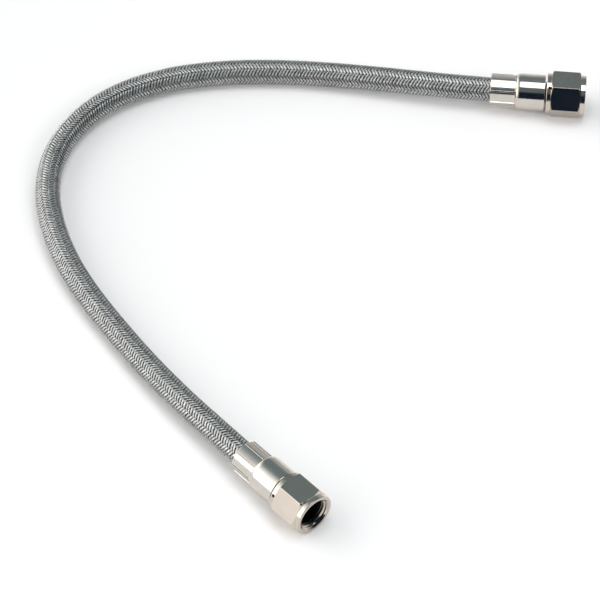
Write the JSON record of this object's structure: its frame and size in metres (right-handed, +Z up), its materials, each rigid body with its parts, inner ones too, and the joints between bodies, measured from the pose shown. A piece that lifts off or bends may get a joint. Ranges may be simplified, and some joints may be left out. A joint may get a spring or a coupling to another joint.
{
  "type": "air compressor leader hose",
  "caption": "Flexible wire-braided air hose lying in one wide bend, with a crimped collar and a hexagonal swivel nut at each end.",
  "frame": {"origin": "on the plane that the hose lies on, under the middle of the box around the two end fittings", "axes": "+X along the axis of end a, out of its nut; +Z up from the plane that the hose lies on"},
  "size_m": [0.2669, 0.3019, 0.0206],
  "materials": {
    "braided_stainless": "woven stainless wire, satin",
    "liner_plastic": "smooth translucent white",
    "plated_collar": "bright nickel plate",
    "plated_tail": "turned and plated",
    "spring_wire": "drawn spring wire",
    "plated_nut": "bright nickel plate"
  },
  "bodies": {
    "hose": {"wire_braid": "braided_stainless", "liner_tube": "liner_plastic", "crimp_collar_a": "plated_collar", "crimp_collar_b": "plated_collar", "hose_tail_a": "plated_tail", "hose_tail_b": "plated_tail", "thrust_wire_a": "spring_wire", "thrust_wire_b": "spring_wire"},
    "nut_a": {"swivel_nut_a": "plated_nut"},
    "nut_b": {"swivel_nut_b": "plated_nut"}
  },
  "joints": [
    {"name": "nut_a_swivel", "type": "hinge", "parent": "hose", "child": "nut_a", "pos_m": [0.0559, 0.1386, 0.0103], "axis": [1, 0, 0], "continuous": true},
    {"name": "nut_b_swivel", "type": "hinge", "parent": "hose", "child": "nut_b", "pos_m": [-0.04918, -0.13, 0.0103], "axis": [0.7455, -0.6665, 0], "continuous": true}
  ]
}
